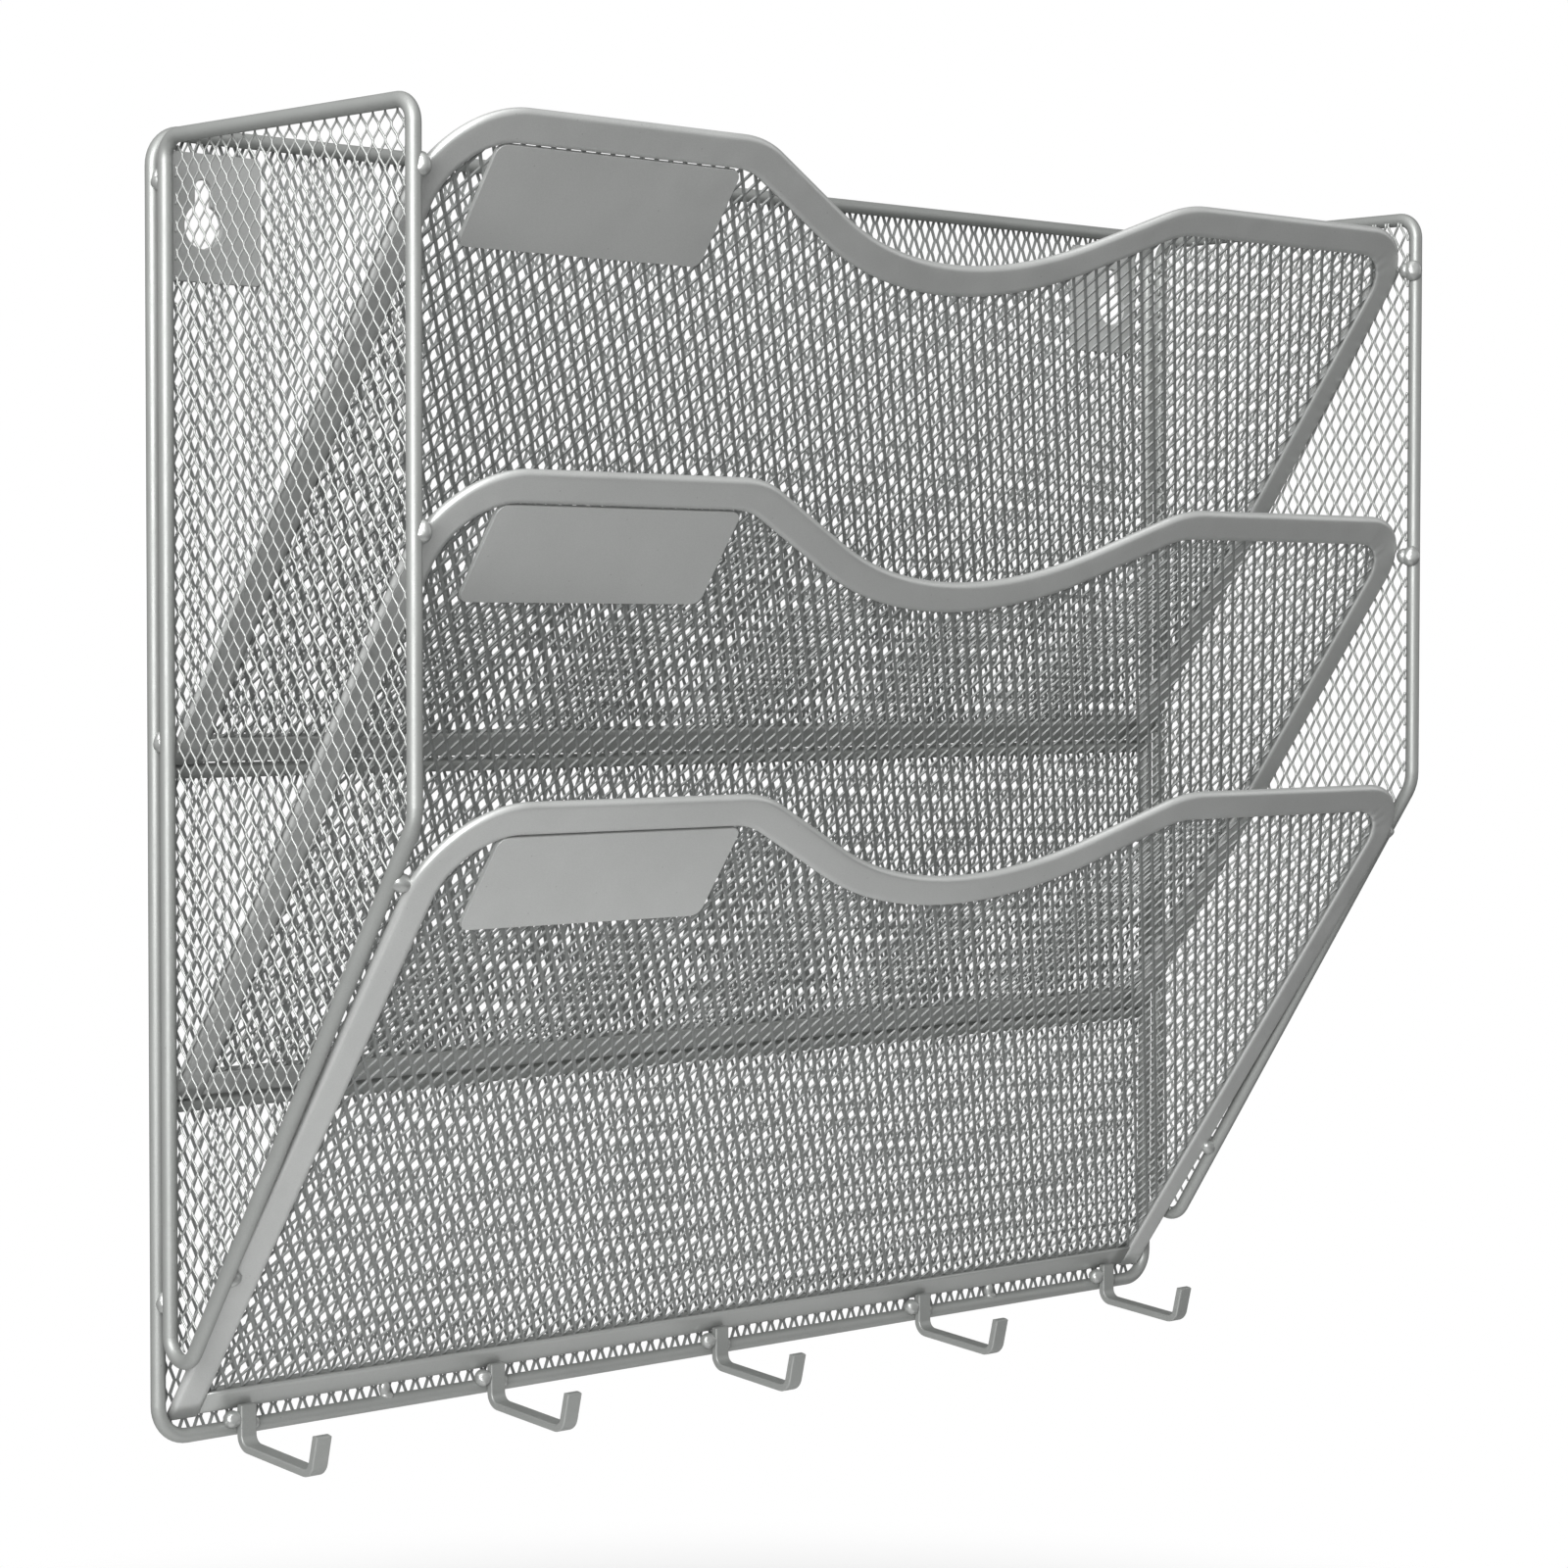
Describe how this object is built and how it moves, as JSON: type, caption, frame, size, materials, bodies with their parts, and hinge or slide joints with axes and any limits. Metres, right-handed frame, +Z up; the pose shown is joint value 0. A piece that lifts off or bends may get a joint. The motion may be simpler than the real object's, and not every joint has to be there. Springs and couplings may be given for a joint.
{
  "type": "wall file holder",
  "caption": "Wall file holder of bent rod and expanded metal, with tilted pockets between two side frames, keyhole plates at the top and flat hooks below.",
  "frame": {"origin": "midway between the centres of the two keyholes, on the plane where the rods lie against the back mesh", "axes": "+X along the wall to the right, +Y into the wall, +Z up"},
  "size_m": [0.334, 0.1008, 0.2975],
  "materials": {
    "painted_steel": "satin grey paint"
  },
  "bodies": {
    "root": {"back_frame": "painted_steel", "back_mesh": "painted_steel", "lower_crossbar": "painted_steel", "upper_crossbar": "painted_steel", "left_side_frame": "painted_steel", "right_side_frame": "painted_steel", "left_side_mesh": "painted_steel", "right_side_mesh": "painted_steel", "left_hanger_plate": "painted_steel", "right_hanger_plate": "painted_steel", "lower_pocket_mesh": "painted_steel", "middle_pocket_mesh": "painted_steel", "upper_pocket_mesh": "painted_steel", "lower_pocket_rim": "painted_steel", "middle_pocket_rim": "painted_steel", "upper_pocket_rim": "painted_steel", "lower_bottom_strip": "painted_steel", "middle_bottom_strip": "painted_steel", "upper_bottom_strip": "painted_steel", "lower_label_plate": "painted_steel", "middle_label_plate": "painted_steel", "upper_label_plate": "painted_steel", "hook_1": "painted_steel", "hook_2": "painted_steel", "hook_3": "painted_steel", "hook_4": "painted_steel", "hook_5": "painted_steel", "frame_welds": "painted_steel", "rim_welds": "painted_steel", "strip_welds": "painted_steel", "hook_welds": "painted_steel"}
  },
  "joints": []
}
